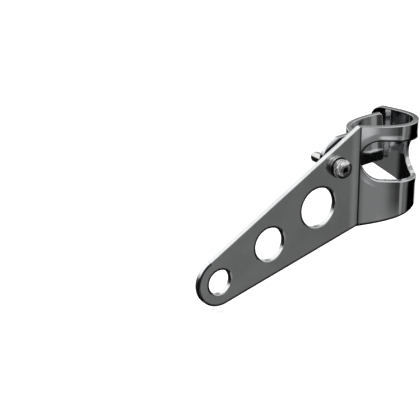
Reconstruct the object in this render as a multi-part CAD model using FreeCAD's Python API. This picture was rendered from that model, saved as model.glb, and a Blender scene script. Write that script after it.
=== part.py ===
import FreeCAD, Part
import os
from math import sin, cos, tan, radians, degrees, pi, sqrt, atan2, asin

V = FreeCAD.Vector

# Folded sheet of the bracket: one arm, one front plate and one loop round the fork tube
sheet = 3.2
bend_angle = 37.0
bend_radius = 1.6
tube_radius = 13.0
top_height = 19.5
bend_height = 57.2

# Front plate and loop, followed along the outer face from the bend
plate_flat = 4.4
plate_bow_radius = 62.0
plate_bow_angle = 14.5
loop_angle = 114.0
back_bow_radius = 29.0
back_bow_angle = 17.0
wall_length = 77.5
back_top_corner = 7.0

# Bottom edge of the plate and loop: two slopes with a long blend between them
front_rise = 0.2
back_rise = 0.38
rise_change_start = 10.4
rise_change_end = 46.8

# Long window wrapped round the loop, sinking a little towards its far end
window_foot_above_bottom = 27.5
window_start = 0.7
window_end = 52.6
window_top_at_bend = 7.4
window_sink = 0.071
window_height = bend_height - window_top_at_bend - window_foot_above_bottom

# Arm and its three headlight bolt holes on one sloping line
hole_line_angle = 23.9
hole_pitch = 34.55
first_hole_along = 27.05
first_hole_below_top = 40.45
hole_radii = (11.0, 9.2, 6.75)
arm_end_radius = 13.5

# Clamp jaw: a tall strip with a round-cornered flange and an arched leg
jaw_sheet = 3.0
jaw_height = 28.2
jaw_gap = 1.2
jaw_tilt = 4.5
flange_reach = 21.7
flange_corner = 11.7
flange_length = 19.4
jaw_bend_radius = 2.0
jaw_rise_angle = 66.0
jaw_rise_length = 3.84
jaw_shoulder_radius = 15.0
jaw_shoulder_angle = 54.0
jaw_arch_radius = 36.0
jaw_arch_angle = 31.0
jaw_end_corner = 1.5
collar_radius = 4.1
collar_length = 4.0

# Clamp screw with its two washers, square to the arm
screw_along = 15.0
thread_radius = 3.0
thread_clearance = 0.05
hole_clearance = 0.3
screw_length = 24.0
screw_end_chamfer = 0.8
head_radius = 5.25
head_height = 3.6
head_rounding = 1.6
head_gap = 0.15
recess_reach = 3.1
recess_width = 1.5
recess_depth = 2.2
recess_turn = 40.0
plain_washer_radius = 6.0
plain_washer_thickness = 1.6
spring_washer_radius = 5.0
spring_washer_thickness = 1.6
spring_split = 1.2
spring_split_lean = 30.0

# Small rounding left on the edges of the polished sheet
edge_rounding = 0.4


def step(point, heading, left, length, radius):
    # End of one stretch of a path, and its middle, for the face lying to the left by the given depth
    x, y = point
    if radius == 0:
        dx = cos(radians(heading)) * length
        dy = sin(radians(heading)) * length
        return (x + dx, y + dy), heading, None
    turn = degrees(length / radius)
    cx = x - radius * sin(radians(heading))
    cy = y + radius * cos(radians(heading))
    middle_heading = radians(heading + turn / 2)
    end_heading = radians(heading + turn)
    middle = (cx + (radius - left) * sin(middle_heading), cy - (radius - left) * cos(middle_heading))
    end = (cx + radius * sin(end_heading), cy - radius * cos(end_heading))
    return end, heading + turn, middle


def beside(point, heading, left):
    # Point at a depth to the left of a path point
    x, y = point
    return V(x - left * sin(radians(heading)), y + left * cos(radians(heading)), 0)


def face_edges(start, heading, stretches, left):
    # Edges of one face of a folded strip, seen from above
    edges = []
    point = start
    for length, radius in stretches:
        first = beside(point, heading, left)
        point, heading, middle = step(point, heading, left, length, radius)
        last = beside(point, heading, left)
        if middle is None:
            edges.append(Part.LineSegment(first, last).toShape())
        else:
            edges.append(Part.Arc(first, V(middle[0], middle[1], 0), last).toShape())
    return edges


def folded_strip(start, heading, stretches, left, low, high):
    # Upright folded strip between two heights
    near = face_edges(start, heading, stretches, 0)
    far = face_edges(start, heading, stretches, left)
    caps = [
        Part.LineSegment(near[0].valueAt(near[0].FirstParameter), far[0].valueAt(far[0].FirstParameter)),
        Part.LineSegment(near[-1].valueAt(near[-1].LastParameter), far[-1].valueAt(far[-1].LastParameter)),
    ]
    outline = Part.Wire(Part.__sortEdges__(near + far + [cap.toShape() for cap in caps]))
    strip = Part.Face(outline).extrude(V(0, 0, high - low))
    strip.translate(V(0, 0, low))
    return strip


# Outer face of the front plate, loop and back wall as stretches with their turning radii
loop_outer = tube_radius + sheet
bow_length = plate_bow_radius * radians(plate_bow_angle)
loop_length = loop_outer * radians(loop_angle)
back_bow_length = back_bow_radius * radians(back_bow_angle)
back_flat = wall_length - plate_flat - bow_length - loop_length - back_bow_length
wall_stretches = [
    (plate_flat, 0),
    (bow_length, plate_bow_radius),
    (loop_length, loop_outer),
    (back_bow_length, back_bow_radius),
    (back_flat, 0),
]

# Length that the rounded bend takes from each of the two flats
bend_start = bend_radius * tan(radians(bend_angle / 2))

# Foot of the bend line, with the fork tube's axis at the origin
bow_shift = plate_bow_radius - loop_outer
bend_x = -bow_shift * sin(radians(plate_bow_angle)) - plate_flat
bend_y = bow_shift * cos(radians(plate_bow_angle)) - plate_bow_radius
bend_foot = (bend_x, bend_y)


def wall_point(along, depth, height):
    # Point of the plate and loop at a distance along its outer face from the bend
    point = bend_foot
    heading = 0.0
    left_over = along
    for length, radius in wall_stretches:
        part = min(left_over, length)
        point, heading, middle = step(point, heading, 0, part, radius)
        left_over -= part
        if left_over <= 0:
            break
    if left_over > 0:
        point, heading, middle = step(point, heading, 0, left_over, 0)
    spot = beside(point, heading, depth)
    return V(spot.x, spot.y, height)


def smooth(points, ticks):
    # Smooth curve through points at given ticks, so that two such curves keep step
    curve = Part.BSplineCurve()
    curve.interpolate(Points=points, Parameters=ticks)
    return curve.toShape()


def bottom_height(along):
    # Height of the lower edge of the plate and loop
    rise = front_rise * (along - bend_start)
    inside = min(max(along - rise_change_start, 0), rise_change_end - rise_change_start)
    beyond = max(along - rise_change_end, 0)
    extra = back_rise - front_rise
    rise += extra * inside ** 2 / 2 / (rise_change_end - rise_change_start)
    rise += extra * beyond
    return top_height - bend_height + rise


def below_bottom_edge():
    # Everything that the lower edge of the plate and loop leaves out
    ticks = [-1 + (wall_length + 3) * i / 16 for i in range(17)]
    outer = smooth([wall_point(s, -0.6, bottom_height(s)) for s in ticks], ticks)
    inner = smooth([wall_point(s, sheet + 0.6, bottom_height(s)) for s in ticks], ticks)
    return Part.makeRuledSurface(outer, inner, 1).extrude(V(0, 0, -60))


def window_cutter():
    # Long hole with round ends, wrapped round the plate and loop
    half = window_height / 2
    first = window_start + half
    last = window_end - half
    steps = 12
    stations = []
    for i in range(steps + 1):
        angle = pi / 2 * i / steps
        stations.append((first - half * cos(angle), half * sin(angle)))
    flat_steps = 16
    for i in range(1, flat_steps):
        stations.append((first + (last - first) * i / flat_steps, half))
    for i in range(steps + 1):
        angle = pi / 2 * (1 - i / steps)
        stations.append((last + half * cos(angle), half * sin(angle)))
    ticks = [0.0]
    for before, after in zip(stations, stations[1:]):
        ticks.append(ticks[-1] + sqrt((after[0] - before[0]) ** 2 + (after[1] - before[1]) ** 2))
    rails = {}
    for side in (1, -1):
        for depth in (-0.8, sheet + 0.8):
            points = []
            for along, half_here in stations:
                middle = top_height - window_top_at_bend - half - window_sink * along
                points.append(wall_point(along, depth, middle + side * half_here))
            rails[side, depth] = smooth(points, ticks)
    inside = sheet + 0.8
    faces = [
        Part.makeRuledSurface(rails[1, -0.8], rails[1, inside], 1),
        Part.makeRuledSurface(rails[-1, -0.8], rails[-1, inside], 1),
        Part.makeRuledSurface(rails[1, -0.8], rails[-1, -0.8], 1),
        Part.makeRuledSurface(rails[1, inside], rails[-1, inside], 1),
    ]
    shell = Part.makeShell(faces)
    shell.sewShape()
    solid = Part.makeSolid(shell)
    if solid.Volume < 0:
        solid.reverse()
    return solid


def to_arm(shape):
    # Turn a shape from the arm's own directions to its place at the bend
    shape.rotate(V(0, 0, 0), V(0, 0, 1), bend_angle)
    shape.translate(V(bend_x, bend_y, 0))
    return shape


def tangent_point(corner, centre, radius, side):
    # Where the line from a corner touches a round end
    dx = centre[0] - corner[0]
    dz = centre[1] - corner[1]
    distance = sqrt(dx * dx + dz * dz)
    angle = atan2(dz, dx) + side * asin(radius / distance)
    reach = sqrt(distance * distance - radius * radius)
    return (corner[0] + reach * cos(angle), corner[1] + reach * sin(angle))


def hole_centre(number):
    # Centre of one headlight bolt hole: distance from the bend, and height
    away = hole_pitch * number
    along = first_hole_along + away * cos(radians(hole_line_angle))
    drop = first_hole_below_top + away * sin(radians(hole_line_angle))
    return (-along, top_height - drop)


def arm_plate():
    # Tapering arm with a round end, three bolt holes and the screw hole
    top = (-bend_start, top_height)
    bottom = (-bend_start, top_height - bend_height)
    end = hole_centre(2)
    upper = tangent_point(top, end, arm_end_radius, -1)
    lower = tangent_point(bottom, end, arm_end_radius, 1)
    tip_angle = radians(180 + hole_line_angle)
    tip = (end[0] + arm_end_radius * cos(tip_angle), end[1] + arm_end_radius * sin(tip_angle))
    spot = [V(p[0], 0, p[1]) for p in (top, upper, tip, lower, bottom)]
    edges = [
        Part.LineSegment(spot[0], spot[1]).toShape(),
        Part.Arc(spot[1], spot[2], spot[3]).toShape(),
        Part.LineSegment(spot[3], spot[4]).toShape(),
        Part.LineSegment(spot[4], spot[0]).toShape(),
    ]
    return Part.Face(Part.Wire(edges)).extrude(V(0, sheet, 0))


def across_arm(radius, along, height, near, far):
    # Round bar square to the arm, between two depths behind its front face
    return Part.makeCylinder(radius, far - near, V(along, near, height), V(0, 1, 0))


def rim_edges(solid, thickness):
    # Edges between a broad face of the sheet and its narrow rim
    narrow = []
    for face in solid.Faces:
        if face.Area / (face.Length / 2) < thickness * 1.02:
            narrow.append(face)
    edges = []
    for edge in solid.Edges:
        sides = [any(face.isSame(rim) for rim in narrow) for face in solid.ancestorsOfType(edge, Part.Face)]
        if len(sides) == 2 and sides.count(True) == 1 and edge.Length > 0.6:
            edges.append(edge)
    return edges


def is_upright(edge):
    # Whether an edge sets out along the fork tube
    return abs(edge.tangentAt(edge.FirstParameter).z) > 0.9


def lower_edges(wall):
    # Rim edges along the bottom of the plate and loop
    highest = top_height - back_top_corner - 1
    return [edge for edge in rim_edges(wall, sheet) if edge.CenterOfMass.z < highest and not is_upright(edge)]


def bracket():
    # The folded sheet in one piece
    low = top_height - bend_height
    wall_start = bend_x + bend_start
    flat = (plate_flat - bend_start, 0)
    wall = folded_strip((wall_start, bend_y), 0, [flat] + wall_stretches[1:], sheet, low, top_height)
    corner = wall_point(wall_length, sheet / 2, top_height)
    ends = [edge for edge in wall.Edges if (edge.CenterOfMass - corner).Length < 0.05]
    wall = wall.makeFillet(back_top_corner, ends)
    wall = wall.cut(below_bottom_edge())
    wall = wall.makeFillet(edge_rounding, lower_edges(wall))
    rounded = [edge.CenterOfMass for edge in lower_edges(wall)]
    wall = wall.cut(window_cutter())
    arm = arm_plate()
    for number, radius in enumerate(hole_radii):
        along, height = hole_centre(number)
        arm = arm.cut(across_arm(radius, along, height, -1, sheet + 1))
    arm = to_arm(arm.cut(across_arm(thread_radius + hole_clearance, -screw_along, 0, -1, sheet + 1)))
    first = (bend_x - bend_start * cos(radians(bend_angle)), bend_y - bend_start * sin(radians(bend_angle)))
    turn = (bend_radius * radians(bend_angle), -bend_radius)
    bend = folded_strip(first, bend_angle, [turn], sheet, low, top_height)
    whole = wall.fuse([bend, arm]).removeSplitter()
    rims = []
    for edge in rim_edges(whole, sheet):
        middle = edge.CenterOfMass
        from_bend = sqrt((middle.x - bend_x) ** 2 + (middle.y - bend_y) ** 2)
        at_bend = is_upright(edge) and from_bend < 2.5 * sheet
        rounded_already = any((middle - mark).Length < 0.05 for mark in rounded)
        if not at_bend and not rounded_already:
            rims.append(edge)
    return whole.makeFillet(edge_rounding, rims)


def clamp_jaw():
    # Strip with a flange, a short rise and an arched leg, and a tapped collar on the flange
    rear = sheet + jaw_gap + jaw_sheet
    stretches = [
        (flange_length, 0),
        (jaw_bend_radius * radians(jaw_rise_angle), jaw_bend_radius),
        (jaw_rise_length, 0),
        (jaw_shoulder_radius * radians(jaw_shoulder_angle), -jaw_shoulder_radius),
        (jaw_arch_radius * radians(jaw_arch_angle), -jaw_arch_radius),
    ]
    half = jaw_height / 2
    jaw = folded_strip((-flange_reach, rear), 0, stretches, -jaw_sheet, -half, half)
    corners = []
    for edge in jaw.Edges:
        middle = edge.CenterOfMass
        at_flange_end = abs(middle.x + flange_reach) < 0.01 and abs(abs(middle.z) - half) < 0.01
        if at_flange_end:
            corners.append(edge)
    jaw = jaw.makeFillet(flange_corner, corners)
    far_edges = sorted(jaw.Edges, key=lambda edge: -edge.CenterOfMass.x)
    ends = [edge for edge in far_edges[:8] if abs(edge.Length - jaw_sheet) < 0.01
            and abs(abs(edge.CenterOfMass.z) - half) < 0.01]
    jaw = jaw.makeFillet(jaw_end_corner, ends[:2])
    jaw = jaw.makeFillet(edge_rounding, rim_edges(jaw, jaw_sheet))
    collar = across_arm(collar_radius, -screw_along, 0, rear - 0.5, rear + collar_length)
    bore = across_arm(thread_radius, -screw_along, 0, rear - jaw_sheet - 1, rear + collar_length + 1)
    jaw = jaw.fuse(collar).cut(bore).removeSplitter()
    jaw.rotate(V(-screw_along, 0, 0), V(0, 1, 0), -jaw_tilt)
    return to_arm(jaw)


def clamp_screw():
    # Pan-head screw with a cross recess
    under_head = -(plain_washer_thickness + spring_washer_thickness + head_gap)
    shank = across_arm(thread_radius - thread_clearance, -screw_along, 0, under_head, under_head + screw_length)
    tips = [edge for edge in shank.Edges if abs(edge.CenterOfMass.y - under_head - screw_length) < 0.01
            and edge.Closed]
    shank = shank.makeChamfer(screw_end_chamfer, tips)
    head = across_arm(head_radius, -screw_along, 0, under_head - head_height, under_head)
    rims = [edge for edge in head.Edges if abs(edge.CenterOfMass.y - under_head + head_height) < 0.01
            and edge.Closed]
    head = head.makeFillet(head_rounding, rims)
    screw = shank.fuse(head)
    top = under_head - head_height
    for long_x, long_z in ((recess_reach, recess_width / 2), (recess_width / 2, recess_reach)):
        slot = Part.makeBox(2 * long_x, recess_depth + 1, 2 * long_z, V(-long_x, top - 1, -long_z))
        slot.rotate(V(0, 0, 0), V(0, 1, 0), recess_turn)
        slot.translate(V(-screw_along, 0, 0))
        screw = screw.cut(slot)
    return to_arm(screw.removeSplitter())


def washer(radius, near, far):
    # Flat ring round the screw
    ring = across_arm(radius, -screw_along, 0, near, far)
    return ring.cut(across_arm(thread_radius + hole_clearance, -screw_along, 0, near - 1, far + 1))


def plain_washer():
    # Flat washer on the arm's front face
    return to_arm(washer(plain_washer_radius, -plain_washer_thickness, 0))


def spring_washer():
    # Split washer between the head and the flat washer
    near = -plain_washer_thickness - spring_washer_thickness
    ring = washer(spring_washer_radius, near, -plain_washer_thickness)
    split = Part.makeBox(spring_washer_radius + 2, 6 * spring_washer_thickness, spring_split)
    split.translate(V(0, -3 * spring_washer_thickness, -spring_split / 2))
    split.rotate(V(0, 0, 0), V(1, 0, 0), spring_split_lean)
    split.rotate(V(0, 0, 0), V(0, 1, 0), 60)
    split.translate(V(-screw_along, near + spring_washer_thickness / 2, 0))
    return to_arm(ring.cut(split))


os.makedirs("parts", exist_ok=True)
for name, shape in (
    ("bracket", bracket()),
    ("clamp_jaw", clamp_jaw()),
    ("clamp_screw", clamp_screw()),
    ("plain_washer", plain_washer()),
    ("spring_washer", spring_washer()),
):
    print(name, shape.isValid(), len(shape.Solids), round(shape.Volume, 1), shape.BoundBox)
    shape.exportStep("parts/" + name + ".step")
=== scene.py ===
import math
from types import SimpleNamespace

import bmesh
import bpy
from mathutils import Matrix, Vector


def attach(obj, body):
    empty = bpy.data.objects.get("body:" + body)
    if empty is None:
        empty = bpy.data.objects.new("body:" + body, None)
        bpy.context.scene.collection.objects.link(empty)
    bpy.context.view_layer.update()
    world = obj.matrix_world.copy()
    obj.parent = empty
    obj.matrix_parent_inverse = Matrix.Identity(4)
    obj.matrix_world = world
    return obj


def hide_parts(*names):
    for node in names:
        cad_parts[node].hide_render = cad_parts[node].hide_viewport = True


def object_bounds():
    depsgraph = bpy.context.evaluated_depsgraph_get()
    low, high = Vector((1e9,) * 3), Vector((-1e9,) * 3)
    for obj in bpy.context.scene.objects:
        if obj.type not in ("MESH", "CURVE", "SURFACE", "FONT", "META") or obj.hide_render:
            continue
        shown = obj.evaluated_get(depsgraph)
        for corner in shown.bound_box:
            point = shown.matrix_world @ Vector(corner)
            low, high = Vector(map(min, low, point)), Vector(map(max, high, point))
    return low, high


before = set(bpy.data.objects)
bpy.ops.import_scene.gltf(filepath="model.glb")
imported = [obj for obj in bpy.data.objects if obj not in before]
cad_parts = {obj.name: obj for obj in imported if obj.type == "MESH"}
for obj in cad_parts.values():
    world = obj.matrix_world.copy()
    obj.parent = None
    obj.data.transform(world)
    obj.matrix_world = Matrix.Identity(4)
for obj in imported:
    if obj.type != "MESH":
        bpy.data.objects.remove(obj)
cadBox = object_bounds()
print("frame loaded:", ", ".join(sorted(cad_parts)))

# where the picture was taken from, in metres and degrees, with lens and film in millimetres
viewpoint = {
    "place": (-0.04919, -0.77037, 0.26918),
    "lookDown": 21.649,
    "turnLeft": 3.608,
    "lens": 126.614,
    "film": 36.0,
}


def placeCamera():
    data = bpy.data.cameras.new("camera")
    data.lens = viewpoint["lens"]
    data.sensor_width = viewpoint["film"]
    camera = bpy.data.objects.new("camera", data)
    bpy.context.scene.collection.objects.link(camera)
    camera.location = viewpoint["place"]
    camera.rotation_euler = (
        math.radians(90 - viewpoint["lookDown"]),
        0,
        math.radians(viewpoint["turnLeft"]),
    )
    bpy.context.scene.camera = camera


placeCamera()
print("camera placed")


# a wire is one output in a shader's tree, so that sums of wires read as plain sums
class Wire:
    def __init__(self, tree, socket=None):
        self.tree = tree
        self.socket = socket

    def node(self, kind, settings=None, sockets=None, output=0):
        made = self.tree.nodes.new(kind)
        for name, value in (settings or {}).items():
            setattr(made, name, value)
        for name, value in (sockets or {}).items():
            if isinstance(value, Wire):
                self.tree.links.new(value.socket, made.inputs[name])
            else:
                made.inputs[name].default_value = value
        return Wire(self.tree, made.outputs[output] if made.outputs else None)

    def other(self, output):
        return Wire(self.tree, self.socket.node.outputs[output])

    def maths(self, operation, *values):
        return self.node("ShaderNodeMath", {"operation": operation}, dict(enumerate(values)))

    def __add__(self, other):
        return self.maths("ADD", self, other)

    def __sub__(self, other):
        return self.maths("SUBTRACT", self, other)

    def __rsub__(self, other):
        return self.maths("SUBTRACT", other, self)

    def __mul__(self, other):
        return self.maths("MULTIPLY", self, other)

    def __abs__(self):
        return self.maths("ABSOLUTE", self)

    __radd__ = __add__
    __rmul__ = __mul__

    def atLeast(self, low):
        return self.maths("MAXIMUM", self, low)

    def atMost(self, high):
        return self.maths("MINIMUM", self, high)

    # 0 below low, 1 above high, with a soft step between
    def step(self, low, high):
        return self.node(
            "ShaderNodeMapRange",
            {"interpolation_type": "SMOOTHSTEP"},
            {"Value": self, "From Min": low, "From Max": high, "To Min": 0.0, "To Max": 1.0},
        )

    # 1 between low and high, fading over the given softness outside them
    def between(self, low, high, soft):
        return self.step(low - soft, low) * (1 - self.step(high, high + soft))


# the length of the way that goes this far across and this far up
def reach(across, up):
    return across.maths("SQRT", across * across + up * up)


# soft panels round the object, each laid over the ones before it, in degrees:
# round it from and to, up from and to, softness round and up, and light
# 0 round is towards the camera, 90 is at its right, and -90 at its left
studio = {
    "room": 0.22,
    "panels": (
        (-75, 75, 28, 60, 18, 28, 0.36),  # dim ceiling over the camera
        (25, 80, 27, 56, 10, 6, 1.25),  # lamp high at the right
        (-200, 200, 66, 95, 18, 16, 0.5),  # ceiling
        (-14, 3, -12.5, -3, 13, 3.5, 0.6),  # small window behind the camera
        (34, 50, -21, 12, 16, 4, 0.045),  # dark stand right of the camera
        (16, 28, -46, -28, 5, 4, 0.62),  # pale table edge
        (36, 50, -46, -28, 12, 4, 0.2),  # its duller part
        (60, 70, -32, -6, 10, 8, 0.14),  # dark stand at the right
        (54, 61, -27, 20, 5, 6, 0.3),  # narrow strip at the right
        (54, 66, -46, -30, 5, 4, 0.55),  # pale foot of the strip
        (60, 130, 12, 42, 12, 10, 0.75),  # side window
        (94, 138, -60, 0, 24, 8, 0.0),  # black cloth at the right
        (-80, -56, -34, -18, 12, 2, 0.115),  # dark stand at the left
        (-150, -60, -15.5, 2, 14, 2.5, 0.0),  # black cloth at the left
        (-150, -86, -80, -12, 16, 15, 0.004),  # the cloth's lower end
        (-200, 200, -95, -58, 10, 9, 0.0),  # black table
        (-215, -150, -80, -26, 10, 10, 0.0),  # black cloth low behind
        (148, 185, -25, 60, 9, 9, 0.9),  # white wall behind
        (158, 186, 8, 30, 6, 6, 0.3),  # grey patch on it
        (-167, -80, 22, 60, 13, 24, 1.25),  # bright window behind at the left
        (-80, -40, 22, 50, 20, 15, 1.0),  # lamp high at the left
    ),
    "floorLamp": {"power": 17.0, "size": 1.6, "height": 1.4},
    "floorGlow": 0.26,
}


def lightStudio():
    world = bpy.data.worlds.new("studio")
    bpy.context.scene.world = world
    world.use_nodes = True
    tree = world.node_tree
    tree.nodes.clear()
    start = Wire(tree)
    direction = start.node("ShaderNodeTexCoord", output="Generated")
    across = start.node("ShaderNodeSeparateXYZ", sockets={"Vector": direction})
    degree = 180 / math.pi
    turn = start.maths("ARCTAN2", across, across.other(1) * -1.0) * degree
    rise = start.maths("ARCSINE", across.other(2)) * degree
    light = studio["room"]
    for first, last, low, high, softRound, softUp, strength in studio["panels"]:
        inside = turn.between(first, last, softRound)
        for whole in (-360, 360):  # the part of a panel past straight behind
            if first + whole < 180 and last + whole > -180:
                inside = inside + turn.between(first + whole, last + whole, softRound)
        inside = inside.atMost(1.0) * rise.between(low, high, softUp)
        light = inside * (strength - light) + light
    shade = start.node("ShaderNodeBackground", sockets={"Strength": light, "Color": (1, 1, 1, 1)})
    start.node("ShaderNodeOutputWorld", sockets={"Surface": shade})
    bpy.context.scene.view_settings.view_transform = "Standard"


# a lamp for the floor, which the chrome doesn't show
def hangLamp():
    take = studio["floorLamp"]
    data = bpy.data.lights.new("overheadLamp", "AREA")
    data.shape = "DISK"
    data.size = take["size"]
    data.energy = take["power"]
    lamp = bpy.data.objects.new("overheadLamp", data)
    lamp.location = (0, 0, take["height"])
    lamp.visible_glossy = False
    bpy.context.scene.collection.objects.link(lamp)


lightStudio()
hangLamp()
print("studio lit")


def startFinish(name):
    material = bpy.data.materials.new(name)
    material.use_nodes = True
    material.node_tree.nodes.clear()
    start = Wire(material.node_tree)
    return material, start, start.node("ShaderNodeTexCoord", output="Object")


def grain(place, scale, detail=2.0, stretch=(1, 1, 1), turn=(0, 0, 0)):
    turned = place.node(
        "ShaderNodeMapping",
        {"vector_type": "POINT"},
        {"Vector": place, "Rotation": tuple(math.radians(t) for t in turn), "Scale": stretch},
    )
    sockets = {"Vector": turned, "Scale": scale, "Detail": detail}
    return place.node("ShaderNodeTexNoise", sockets=sockets)


# the Mix node keeps its colours on sockets 6 and 7, and gives them out on 2
def blend(factor, first, second):
    sockets = {0: factor, 6: first, 7: second}
    return factor.node("ShaderNodeMix", {"data_type": "RGBA"}, sockets, output=2)


# the surface's height is in millimetres, which is what the distance of the bump says
def finishMetal(start, colour, roughness, height):
    bump = start.node(
        "ShaderNodeBump", sockets={"Height": height, "Distance": 0.001, "Strength": 1.0}
    )
    shader = start.node(
        "ShaderNodeBsdfPrincipled",
        sockets={"Base Color": colour, "Metallic": 1.0, "Roughness": roughness, "Normal": bump},
    )
    start.node("ShaderNodeOutputMaterial", sockets={"Surface": shader})


# the arm seen from above: where its front face leaves the plate's, its turn back from the plate's
# line in degrees, and how far along it the screw stands, all lengths in millimetres
arm = {"bend": (-15.867, -17.659), "turn": 37.0, "screwAlong": 15.0}
armCosine, armSine = math.cos(math.radians(arm["turn"])), math.sin(math.radians(arm["turn"]))
screwPlace = (
    arm["bend"][0] - arm["screwAlong"] * armCosine,
    arm["bend"][1] - arm["screwAlong"] * armSine,
)

# the folded bracket: satin chrome on the arm, brighter on the plate and loop
# lengths in millimetres, and a pair is where a soft change starts and ends
bracketFinish = {
    "colour": (0.77, 0.78, 0.79, 1.0),
    # the dark tone, for the painted shade at the fold and rims and for the dirt
    "darkTone": (0.05, 0.05, 0.052, 1.0),
    # the arm's outline, along it from the bend and up
    "armStart": (-0.4, 0.4),
    "firstHole": (27.05, -20.95),
    "holePitch": 34.55,
    "holeSlope": 23.9,
    "holeRadii": (11.0, 9.2, 6.75),
    "lowerSlope": 15.74,
    "endRadius": 13.5,
    "endTurn": 23.11,
    "endFade": (-0.5, 0.5),
    "endGap": 200.0,
    # the front's outline, along the plate from the bend and up
    "frontEnds": (-8.0, -2.0),  # along Y
    "windowTop": 12.1,
    "windowHeight": 22.3,
    "windowStart": 0.7,
    "windowSink": 0.071,
    "bottomEdge": -37.7,
    "bottomRise": 0.2,
    "bottomTurn": 10.4,
    "bottomCurve": 0.0028,
    # the painted shade of the fold: a dark line, with a shade beside it and one where the window
    # comes near it
    "creaseReach": (0.3, 0.95),
    "creasePales": (-6.0, 16.0),
    "creasePaler": 0.7,
    "shadeReach": (0.5, 3.6),
    "shadeTop": (-6.0, 4.0),
    "shade": 0.55,
    "cornerReach": (1.0, 5.5),
    "cornerHeight": (1.0, 7.5, 5.0),
    "corner": 0.6,
    # the polished surface's own shape
    "rollWidth": 4.5,
    "rollHeight": 0.4,
    "calmUp": (0.0, 4.0),
    "calmAlong": (4.0, 13.0),
    "calm": 0.75,
    "crownStart": 2.0,
    "crownEnd": -22.0,
    "crown": 0.002,
    "crownBelow": 0.5,
    "flareReach": 6.5,
    "flareHeight": 0.48,
    "lipWidth": 1.2,
    "lipDrop": 0.46,
    "lipLimit": 1.2,
    "waves": 0.14,
    "peel": 0.0005,
    "scratches": 0.0006,
    # how dull it is
    "loopRoughness": 0.07,
    "armRoughness": 0.22,
    "armPolish": (0.5, 1.6),
    "backRoughness": 0.2,
    "backFace": (0.7, 1.3),
    "smudgeRoughness": 0.05,
    "lineRoughness": 0.02,
    "creaseRoughness": 0.1,
    # how dark it is: painted shade at the fold and round the rims, with dirt and tarnish
    "creasePaintedShade": 0.62,
    "rimPaintedShade": 0.95,
    "wearDirt": 0.05,
    "cloudDirt": 0.1,
    "armRim": (0.95, 1.5),
    "frontFace": (0.15, 0.5),
    "darkSide": (0.62, 0.78),  # of a hole: towards the arm's end, and up
    "darkFade": (-0.5, 0.0),
    "litGap": 5.0,
    "windowRim": (0.8, 1.4),
    "windowUpper": (0.0, 3.0),
    "bottomRim": (1.0, 1.6),
    "topRim": (18.9, 19.3),
    "topBack": (-8.0, 4.0),  # along Y
    "topRimPaintedShade": 0.5,
}


# how far a point is from the rims of the arm's lower edge, end and holes, and from those of them
# that get painted shade, which leaves out the lit lower right of each hole
def armRims(alongArm, z):
    take = bracketFinish
    slope = math.radians(take["holeSlope"])
    holes = []
    for count, radius in enumerate(take["holeRadii"]):
        along = take["firstHole"][0] + count * take["holePitch"] * math.cos(slope)
        high = take["firstHole"][1] - count * take["holePitch"] * math.sin(slope)
        holes.append((alongArm - along, z - high, radius))
    endAcross, endUp = holes[-1][:2]  # the arm ends round about its last hole
    lower = math.radians(take["lowerSlope"])
    fromRim = endAcross * math.sin(lower) + endUp * math.cos(lower) + take["endRadius"]
    fromDark = fromRim
    for across, up, radius in holes:
        gap = reach(across, up) - radius
        fromRim = fromRim.atMost(gap)
        sideAcross, sideUp = (side / radius for side in take["darkSide"])
        upperLeft = (across * sideAcross + up * sideUp).step(*take["darkFade"])
        fromDark = fromDark.atMost(gap + (1 - upperLeft) * take["litGap"])
    turn = math.radians(take["endTurn"])
    pastHole = (endAcross * math.cos(turn) - endUp * math.sin(turn)).step(*take["endFade"])
    fromEnd = take["endRadius"] - reach(endAcross, endUp) + (1 - pastHole) * take["endGap"]
    return fromRim.atMost(fromEnd), fromDark.atMost(fromEnd)


# how far a point is above the window's middle, and how far outside its rim
def windowRims(alongPlate, z):
    take = bracketFinish
    radius = take["windowHeight"] / 2
    upright = z - (take["windowTop"] - radius) + alongPlate * take["windowSink"]
    sideways = (alongPlate - take["windowStart"] - radius).atMost(0.0)
    return upright, reach(sideways, upright) - radius


def foldShade(fromBend, z, offArm):
    take = bracketFinish
    paler = z.step(*take["creasePales"]) * take["creasePaler"]
    crease = (1 - fromBend.step(*take["creaseReach"])) * (1 - paler)
    shade = (1 - fromBend.step(*take["shadeReach"])) * (1 - z.step(*take["shadeTop"]))
    corner = (1 - fromBend.step(*take["cornerReach"])) * z.between(*take["cornerHeight"])
    return crease + (shade * take["shade"] + corner * take["corner"]) * offArm


# an edge that polishing has rounded: how the surface drops by the distance from it
def lip(distance):
    take = bracketFinish
    near = (1 - distance * (1 / take["lipWidth"])).atLeast(0.0).atMost(take["lipLimit"])
    return near * near * -take["lipDrop"]


# where a point of the bracket is: distances in millimetres, and masks from 0 to 1
def bracketPlaces(start, place):
    take = bracketFinish
    split = start.node("ShaderNodeSeparateXYZ", sockets={"Vector": place})
    x, y, z = split * 1000, split.other(1) * 1000, split.other(2) * 1000
    alongPlate, besidePlate = x - arm["bend"][0], y - arm["bend"][1]
    alongArm = (alongPlate * armCosine + besidePlate * armSine) * -1.0
    onArm = alongArm.step(*take["armStart"])
    offArm = 1 - onArm
    fromRim, fromDark = armRims(alongArm, z)
    upright, fromWindow = windowRims(alongPlate, z)
    pastTurn = (alongPlate - take["bottomTurn"]).atLeast(0.0)
    bottom = alongPlate * take["bottomRise"] + pastTurn * pastTurn * take["bottomCurve"]
    return SimpleNamespace(
        z=z,
        alongPlate=alongPlate,
        alongArm=alongArm,
        behindArm=besidePlate * armCosine - alongPlate * armSine,  # from its front face
        onArm=onArm,
        offArm=offArm,
        inFront=(1 - y.step(*take["frontEnds"])) * offArm,
        inBack=y.step(*take["topBack"]) * offArm,
        upright=upright,
        fromRim=fromRim,
        fromDark=fromDark,
        fromWindow=fromWindow,
        fromBottom=z - take["bottomEdge"] - bottom,
        fold=foldShade(reach(alongPlate, besidePlate), z, offArm),
    )


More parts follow.
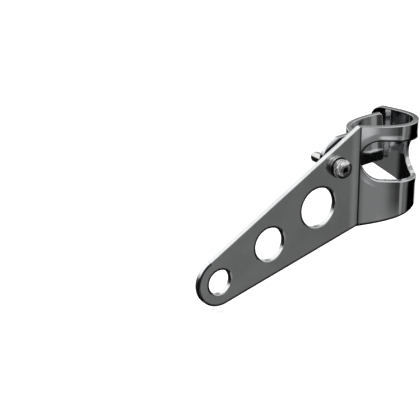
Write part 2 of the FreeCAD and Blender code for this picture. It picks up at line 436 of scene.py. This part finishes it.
# the sheet's own form: drawn in round the window, where it was punched, though less so at the fold
# above it, crowned at its top and foot, flared where the arm starts, and with rounded rims
def sheetForm(at):
    take = bracketFinish
    calm = at.upright.step(*take["calmUp"]) * (1 - at.alongPlate.step(*take["calmAlong"]))
    roll = (at.fromWindow.step(0.0, take["rollWidth"]) - 1) * take["rollHeight"]
    roll = roll * at.inFront * (1 - calm * take["calm"])
    above, below = (at.z - take["crownStart"]).atLeast(0.0), (take["crownEnd"] - at.z).atLeast(0.0)
    crown = above * above + below * below * take["crownBelow"]
    crown = crown * -take["crown"] * at.offArm
    flare = (1 - at.alongArm.step(0.0, take["flareReach"])) * take["flareHeight"] * at.onArm
    lips = lip(at.fromRim) * at.onArm + (lip(at.fromWindow) + lip(at.fromBottom)) * at.inFront
    return roll + crown + flare + lips


# painted shade along the fold and round the rims, with dirt and tarnish, from 0 to 1
def bracketShadeAndDirt(at, place):
    take = bracketFinish
    # painted shade round the rims of the arm's lower edge, end and holes, the window's upper half,
    # the plate's bottom edge and the top of the back wall
    frontRim = 1 - at.behindArm.step(*take["frontFace"])
    rims = (1 - at.fromDark.step(*take["armRim"])) * frontRim * at.onArm
    upper = (1 - at.fromWindow.step(*take["windowRim"])) * at.upright.step(*take["windowUpper"])
    rims = rims + (upper + (1 - at.fromBottom.step(*take["bottomRim"]))) * at.inFront
    rims = rims + at.z.step(*take["topRim"]) * at.inBack * take["topRimPaintedShade"]
    wear = grain(place, scale=260.0, detail=4.0).step(0.55, 0.8)
    clouds = grain(place, scale=70.0, detail=3.0).step(0.35, 0.7) * at.onArm
    # painted shade along the fold and round the rims
    darkening = at.fold * take["creasePaintedShade"] + rims * take["rimPaintedShade"]
    return (darkening + wear * take["wearDirt"] + clouds * take["cloudDirt"]).atMost(1.0)


def bracketChrome():
    take = bracketFinish
    material, start, place = startFinish("polishedChrome")
    at = bracketPlaces(start, place)
    waves = grain(place, scale=42.0, detail=1.0) * take["waves"]
    peel = grain(place, scale=900.0) * take["peel"]
    lines = grain(place, scale=320.0, detail=3.0, stretch=(1, 1, 14), turn=(0, 20, 0))
    hairs = grain(place, scale=700.0, stretch=(16, 16, 1), turn=(0, -35, 0))
    lines, hairs = lines.step(0.56, 0.7), hairs.step(0.6, 0.72)
    height = sheetForm(at) + waves + peel - (lines + hairs) * take["scratches"]
    smudges = grain(place, scale=95.0, detail=5.0).step(0.45, 0.75)
    satin = at.fromRim.step(*take["armPolish"]) * (take["armRoughness"] - take["loopRoughness"])
    satin = (satin + at.behindArm.step(*take["backFace"]) * take["backRoughness"]) * at.onArm
    roughness = satin + take["loopRoughness"] + smudges * take["smudgeRoughness"]
    roughness = roughness + lines * take["lineRoughness"] + at.fold * take["creaseRoughness"]
    colour = blend(bracketShadeAndDirt(at, place), take["colour"], take["darkTone"])
    finishMetal(start, colour, roughness, height)
    return material


# the jaw: chrome over a pressed strip, with a finer ripple over its waves, in millimetres
jawFinish = {
    "colour": (0.76, 0.77, 0.78, 1.0),
    "darkTone": (0.42, 0.42, 0.43, 1.0),
    "roughness": 0.05,
    "smudgeRoughness": 0.05,
    "pitRoughness": 0.2,
    "smudgeDirt": 0.08,
    "pitDirt": 0.5,
    "waves": 0.12,
    "ripple": 0.045,
    "peel": 0.0012,
    "pits": 0.003,
}


def jawChrome():
    take = jawFinish
    material, start, place = startFinish("pressedChrome")
    waves = grain(place, scale=60.0) * take["waves"]
    ripple = grain(place, scale=190.0, detail=1.0, stretch=(1, 1, 0.4)) * take["ripple"]
    peel = grain(place, scale=1100.0) * take["peel"]
    smudges = grain(place, scale=120.0, detail=5.0).step(0.4, 0.75)
    pits = grain(place, scale=1500.0, detail=1.0).step(0.7, 0.78)
    roughness = take["roughness"] + smudges * take["smudgeRoughness"]
    roughness = roughness + pits * take["pitRoughness"]
    darkening = pits * take["pitDirt"] + smudges * take["smudgeDirt"]
    colour = blend(darkening, take["colour"], take["darkTone"])
    finishMetal(start, colour, roughness, waves + ripple + peel - pits * take["pits"])
    return material


# screw and washers: bright plating over turned and stamped steel, in millimetres
# the rings are phases of a sine, for each millimetre outwards and along the screw
fixingFinish = {
    "colour": (0.8, 0.8, 0.79, 1.0),
    "darkTone": (0.05, 0.05, 0.05, 1.0),
    "roughness": 0.05,
    "markRoughness": 0.04,
    "dirtRoughness": 0.05,
    "recessRoughness": 0.4,
    "ringsOut": 9.0,
    "ringsAlong": 7.0,
    "ringsWander": 6.0,
    "darkening": 0.3,
    "ringReach": (0.12, 0.4),
    "underShadeEdge": (-1.6, 0.4),
    "recessRadius": (2.6, 3.2),
    "recessDepth": (-6.7, -4.8, 0.25),
    "turnedPlate": {
        "rings": 0.0012,
        "tumble": 0.006,
        "jointShadeRings": (-3.35, -4.9),
        "underShade": 0.85,
        "underShadeSide": -0.8,
    },
    "washerPlate": {
        "rings": 0.0008,
        "tumble": 0.012,
        "jointShadeRings": (0.0, -1.6, -3.35),
        "underShade": 1.0,
        "underShadeSide": 0.5,
    },
}


def fixingPlate(name):
    take, own = fixingFinish, fixingFinish[name]
    material, start, place = startFinish(name)
    centred = start.node(
        "ShaderNodeMapping",
        {"vector_type": "TEXTURE"},
        {
            "Vector": place,
            "Location": (screwPlace[0] / 1000, screwPlace[1] / 1000, 0),
            "Rotation": (0, 0, math.radians(arm["turn"])),
        },
    )
    split = start.node("ShaderNodeSeparateXYZ", sockets={"Vector": centred})
    x, depth, z = split * 1000, split.other(1) * 1000, split.other(2) * 1000
    radius = reach(x, z)
    phase = radius * take["ringsOut"] + depth * take["ringsAlong"]
    phase = phase + grain(centred, scale=160.0, detail=1.0) * take["ringsWander"]
    turned = start.maths("SINE", phase)
    marks = grain(centred, scale=420.0, detail=3.0)
    darkening = grain(centred, scale=260.0, detail=4.0).step(0.52, 0.75)
    dirtAndJointShade = darkening * take["darkening"]
    for ring in own["jointShadeRings"]:  # painted shade in rings at the joints between the parts, and round the side of the head
        dirtAndJointShade = dirtAndJointShade + (1 - abs(depth - ring).step(*take["ringReach"]))
    # painted shade in the head's cross recess
    recess = (1 - radius.step(*take["recessRadius"])) * depth.between(*take["recessDepth"])
    # painted shade on the lower side of the head and washers
    underShade = (1 - (z + x * own["underShadeSide"]).step(*take["underShadeEdge"])) * own["underShade"]
    colour = blend((dirtAndJointShade + recess + underShade).atMost(1.0), take["colour"], take["darkTone"])
    roughness = take["roughness"] + marks.step(0.35, 0.8) * take["markRoughness"]
    roughness = roughness + darkening * take["dirtRoughness"] + recess * take["recessRoughness"]
    finishMetal(start, colour, roughness, turned * own["rings"] + marks * own["tumble"])
    return material


polished = bracketChrome()
pressed = jawChrome()
turnedPlate = fixingPlate("turnedPlate")
washerPlate = fixingPlate("washerPlate")
finishes = {
    "bracket": polished,
    "clamp_jaw": pressed,
    "clamp_screw": turnedPlate,
    "plain_washer": washerPlate,
    "spring_washer": washerPlate,
}
for name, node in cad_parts.items():
    for slot in node.material_slots:
        slot.material = finishes[name]
print("finishes applied")

tolerance = 0.01  # millimetres, for finding the corners and edges of a level


def clearChoice():
    for item in bpy.context.selected_objects:
        item.select_set(False)


def pick(piece, kind, wanted):
    bpy.ops.mesh.select_mode(type={"verts": "VERT", "edges": "EDGE", "faces": "FACE"}[kind])
    bpy.ops.mesh.select_all(action="DESELECT")
    form = bmesh.from_edit_mesh(piece.data)
    for part in getattr(form, kind):
        if wanted(part):
            part.select_set(True)
    form.select_flush_mode()
    bmesh.update_edit_mesh(piece.data)


def soften(piece, width, segments, sharpest):
    bevel = piece.modifiers.new("soften", "BEVEL")
    bevel.width = width
    bevel.segments = segments
    bevel.limit_method = "ANGLE"
    bevel.angle_limit = math.radians(sharpest)


def applyAll(piece):
    bpy.context.view_layer.objects.active = piece
    for modifier in list(piece.modifiers):
        bpy.ops.object.modifier_apply(modifier=modifier.name)


# from millimetres about the screw's own axis, with depth along Z, to its place on the arm
def setOnArm(piece, name, material):
    clearChoice()
    piece.select_set(True)
    bpy.context.view_layer.objects.active = piece
    piece.scale = (0.001, 0.001, 0.001)
    piece.rotation_euler = (math.radians(-90), 0, math.radians(arm["turn"]))
    piece.location = (screwPlace[0] / 1000, screwPlace[1] / 1000, 0)
    bpy.ops.object.transform_apply(location=True, rotation=True, scale=True)
    bpy.ops.object.shade_smooth_by_angle(angle=math.radians(38))
    piece.name = name
    piece.data.name = name
    piece.data.materials.clear()
    piece.data.materials.append(material)
    piece.select_set(False)


# the clamp screw, in millimetres, depths measured behind the arm's front face
clampScrew = {
    "crest": 2.93,
    "root": 2.36,
    "pitch": 1.0,
    "flankLifts": (0.3, 0.2),
    "facets": 40,
    "underHead": -3.35,
    "intoHead": 0.3,
    "end": 20.65,
    "endTaper": 0.9,
    "endSteps": (1.0, 0.75, 0.5, 0.25),
    "endNarrowing": 0.95,
    "headRadius": 5.25,
    "headHeight": 3.6,
    "headRounding": 2.0,
    "underRounding": 0.2,
    "topSteps": ((0.6, 0.24), (0.8, 0.24), (0.8, 0.12)),
    "recessReach": 2.5,
    "recessWidth": 1.3,
    "recessDepth": 2.2,
    "recessMouth": 0.3,
    "recessTurn": 40.0,
    "recessTaper": 0.5,
    "recessRounding": 0.12,
}


# the outline of one turn of the thread, open towards the screw's axis
def threadOutline():
    take = clampScrew
    pitch, inside = take["pitch"], take["root"] - take["pitch"] / 2
    turned = (math.radians(90), 0, 0)
    bpy.ops.mesh.primitive_plane_add(size=pitch, location=(inside, 0, 0), rotation=turned)
    shank = bpy.context.object
    bpy.ops.object.transform_apply(location=True, rotation=True, scale=True)
    bpy.ops.object.mode_set(mode="EDIT")
    pick(shank, "verts", lambda v: v.co.x < inside)
    bpy.ops.mesh.delete(type="VERT")
    bpy.ops.mesh.select_all(action="SELECT")
    bpy.ops.mesh.subdivide(number_cuts=7)
    rise = (take["crest"] - take["root"]) / 2
    for share in take["flankLifts"]:  # the thread's flank in two lifts
        pick(shank, "verts", lambda v: abs(v.co.z) < pitch * share)
        bpy.ops.transform.translate(value=(rise, 0, 0))
    bpy.ops.object.mode_set(mode="OBJECT")
    return shank


def threadedShank():
    take = clampScrew
    pitch = take["pitch"]
    shank = threadOutline()
    wind = shank.modifiers.new("wind", "SCREW")
    wind.axis = "Z"
    wind.angle = 2 * math.pi
    wind.screw_offset = pitch
    wind.iterations = math.ceil((take["end"] - take["underHead"]) / pitch) + 3
    wind.steps = take["facets"]
    wind.render_steps = take["facets"]
    applyAll(shank)
    bpy.ops.object.mode_set(mode="EDIT")
    bpy.ops.mesh.select_all(action="SELECT")
    bpy.ops.mesh.remove_doubles(threshold=0.004)
    bpy.ops.transform.translate(value=(0, 0, take["underHead"] - 1.5 * pitch))
    for cut, outwards in ((take["underHead"] - take["intoHead"], -1), (take["end"], 1)):
        bpy.ops.mesh.select_all(action="SELECT")
        bpy.ops.mesh.bisect(
            plane_co=(0, 0, cut), plane_no=(0, 0, outwards), use_fill=True, clear_outer=True
        )
    bpy.ops.mesh.select_all(action="SELECT")
    bpy.ops.mesh.normals_make_consistent(inside=False)
    narrower = (take["endNarrowing"], take["endNarrowing"], 1)
    for share in take["endSteps"]:  # the thread narrows towards its end
        limit = take["end"] - take["endTaper"] * share
        pick(shank, "verts", lambda v: v.co.z > limit)
        bpy.ops.transform.resize(value=narrower, center_override=(0, 0, take["end"]))
    bpy.ops.object.mode_set(mode="OBJECT")
    return shank


def recessCutter():
    take = clampScrew
    wide, deep, over = take["recessWidth"], take["recessDepth"], 1  # over: clear of the head
    top = take["underHead"] - take["headHeight"] - take["recessMouth"]
    bpy.ops.mesh.primitive_cube_add(size=1, location=(0, 0, top + (deep - over) / 2))
    cutter = bpy.context.object
    cutter.scale = (wide, wide, deep + over)
    bpy.ops.object.transform_apply(location=True, rotation=True, scale=True)
    bpy.ops.object.mode_set(mode="EDIT")
    pick(cutter, "faces", lambda f: abs(f.normal.z) < 0.5)
    wing = take["recessReach"] - wide / 2
    bpy.ops.mesh.extrude_faces_move(TRANSFORM_OT_shrink_fatten={"value": wing})
    pick(cutter, "verts", lambda v: v.co.z > top)
    narrow = (take["recessTaper"], take["recessTaper"], 1)
    bpy.ops.transform.resize(value=narrow, center_override=(0, 0, top))
    bpy.ops.mesh.select_all(action="SELECT")
    turn = math.radians(-take["recessTurn"])
    bpy.ops.transform.rotate(value=turn, orient_axis="Z", center_override=(0, 0, 0))
    bpy.ops.mesh.normals_make_consistent(inside=False)
    bpy.ops.object.mode_set(mode="OBJECT")
    return cutter


def screwHead():
    take = clampScrew
    under, tall = take["underHead"], take["headHeight"]
    bpy.ops.mesh.primitive_cylinder_add(
        vertices=72, radius=take["headRadius"], depth=tall, location=(0, 0, under - tall / 2)
    )
    head = bpy.context.object
    bpy.ops.object.transform_apply(location=True, rotation=True, scale=True)
    bpy.ops.object.mode_set(mode="EDIT")
    pick(head, "edges", lambda e: all(v.co.z < under - tall + tolerance for v in e.verts))
    bpy.ops.mesh.bevel(offset=take["headRounding"], segments=7, profile=0.5)
    # this takes in the rounding's last ring too, so the steps leave a thin lip round the flat
    # top with a groove under it, and not a smooth dome
    pick(head, "faces", lambda f: f.normal.z < -0.99)
    for inwards, out in take["topSteps"]:
        bpy.ops.mesh.inset(thickness=inwards)
        bpy.ops.transform.translate(value=(0, 0, -out))
    pick(head, "edges", lambda e: all(v.co.z > under - tolerance for v in e.verts))
    bpy.ops.mesh.bevel(offset=take["underRounding"], segments=3)
    bpy.ops.object.mode_set(mode="OBJECT")
    cutter = recessCutter()
    cut = head.modifiers.new("recess", "BOOLEAN")
    cut.operation = "DIFFERENCE"
    cut.solver = "EXACT"
    cut.object = cutter
    soften(head, take["recessRounding"], segments=2, sharpest=34)
    applyAll(head)
    bpy.data.objects.remove(cutter)
    return head


def modelScrew():
    clearChoice()
    shank = threadedShank()
    clearChoice()
    head = screwHead()
    clearChoice()
    shank.select_set(True)
    head.select_set(True)
    bpy.context.view_layer.objects.active = head
    bpy.ops.object.join()
    setOnArm(head, "clampScrew", turnedPlate)
    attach(head, "screw")
    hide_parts("clamp_screw")


modelScrew()
print("clamp screw modelled")

# the two washers under the head, in millimetres like the screw
washers = {
    "inner": 3.3,
    "plainOuter": 5.75,
    "plainThick": 1.6,
    "springOuter": 5.0,
    "springThick": 1.6,
    "splitWidth": 1.2,
    "splitLean": 30.0,
    "splitAt": 60.0,
    "rounding": 0.3,
}


def ringProfile(outer, near, far):
    inner = washers["inner"]
    bpy.ops.mesh.primitive_plane_add(size=1, rotation=(math.radians(90), 0, 0))
    ring = bpy.context.object
    ring.scale = (outer - inner, far - near, 1)
    ring.location = ((outer + inner) / 2, 0, (near + far) / 2)
    bpy.ops.object.transform_apply(location=True, rotation=True, scale=True)
    bpy.ops.object.mode_set(mode="EDIT")
    bpy.ops.mesh.select_all(action="SELECT")
    return ring


def closeRing(ring):
    bpy.ops.mesh.select_all(action="SELECT")
    bpy.ops.mesh.remove_doubles(threshold=0.001)
    bpy.ops.mesh.normals_make_consistent(inside=False)
    bpy.ops.object.mode_set(mode="OBJECT")
    soften(ring, washers["rounding"], segments=4, sharpest=40)
    applyAll(ring)


def modelPlainWasher():
    take = washers
    clearChoice()
    ring = ringProfile(take["plainOuter"], -take["plainThick"], 0)
    bpy.ops.mesh.delete(type="ONLY_FACE")  # a whole turn has no ends to fill
    bpy.ops.mesh.select_all(action="SELECT")
    bpy.ops.mesh.spin(steps=96, angle=2 * math.pi, center=(0, 0, 0), axis=(0, 0, 1))
    closeRing(ring)
    setOnArm(ring, "plainWasher", washerPlate)
    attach(ring, "bracket")
    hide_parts("plain_washer")


def atSplit(place, gap):
    return place.x > 0 and -2 * gap * place.x < place.y < tolerance


def modelSpringWasher():
    take = washers
    clearChoice()
    near, far = -take["plainThick"] - take["springThick"], -take["plainThick"]
    ring = ringProfile(take["springOuter"], near, far)
    gap = take["splitWidth"] / ((take["springOuter"] + take["inner"]) / 2)
    bpy.ops.mesh.spin(steps=88, angle=2 * math.pi - gap, center=(0, 0, 0), axis=(0, 0, 1))
    lean = math.tan(math.radians(take["splitLean"])) * take["springThick"] / 2
    for level, share in ((near, -1), (far, 1)):  # both ends of the ring slope the same way
        pick(ring, "verts", lambda v: abs(v.co.z - level) < tolerance and atSplit(v.co, gap))
        bpy.ops.transform.translate(value=(0, share * lean, 0))
    pick(ring, "verts", lambda v: True)
    turn = -(math.radians(take["splitAt"]) + gap / 2)
    bpy.ops.transform.rotate(value=turn, orient_axis="Z", center_override=(0, 0, 0))
    closeRing(ring)
    setOnArm(ring, "springWasher", washerPlate)
    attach(ring, "bracket")
    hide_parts("spring_washer")


modelPlainWasher()
modelSpringWasher()
print("washers modelled")


# the floor's and backdrop's light isn't seen in the chrome
backdrop = {
    "floorSize": 5.0,
    "floorDrop": 0.004,
    "domeRadius": 3.7,
    "domeGlow": 1.0,
    "pale": 0.9,
    "roughness": 0.8,
}


def plainShade(name, glow):
    material = bpy.data.materials.new(name)
    material.use_nodes = True
    shader = material.node_tree.nodes["Principled BSDF"]
    shader.inputs["Base Color"].default_value = (backdrop["pale"],) * 3 + (1.0,)
    shader.inputs["Roughness"].default_value = backdrop["roughness"]
    shader.inputs["Emission Color"].default_value = (1.0, 1.0, 1.0, 1.0)
    shader.inputs["Emission Strength"].default_value = glow
    return material


def floorAndBackdrop():
    take = backdrop
    clearChoice()
    low = cadBox[0][2] - take["floorDrop"]
    bpy.ops.mesh.primitive_plane_add(size=take["floorSize"], location=(0, 0, low))
    floor = bpy.context.object
    floor.name = "floor"
    floor.data.materials.append(plainShade("paleFloor", studio["floorGlow"]))
    bpy.ops.mesh.primitive_uv_sphere_add(segments=48, ring_count=24, radius=take["domeRadius"])
    dome = bpy.context.object
    dome.name = "backdrop"
    dome.data.materials.append(plainShade("paleBackdrop", take["domeGlow"]))
    dome.visible_diffuse = False
    dome.visible_shadow = False
    for stage in (floor, dome):
        stage.visible_glossy = False
        stage.select_set(False)


floorAndBackdrop()
print("floor and backdrop in place")
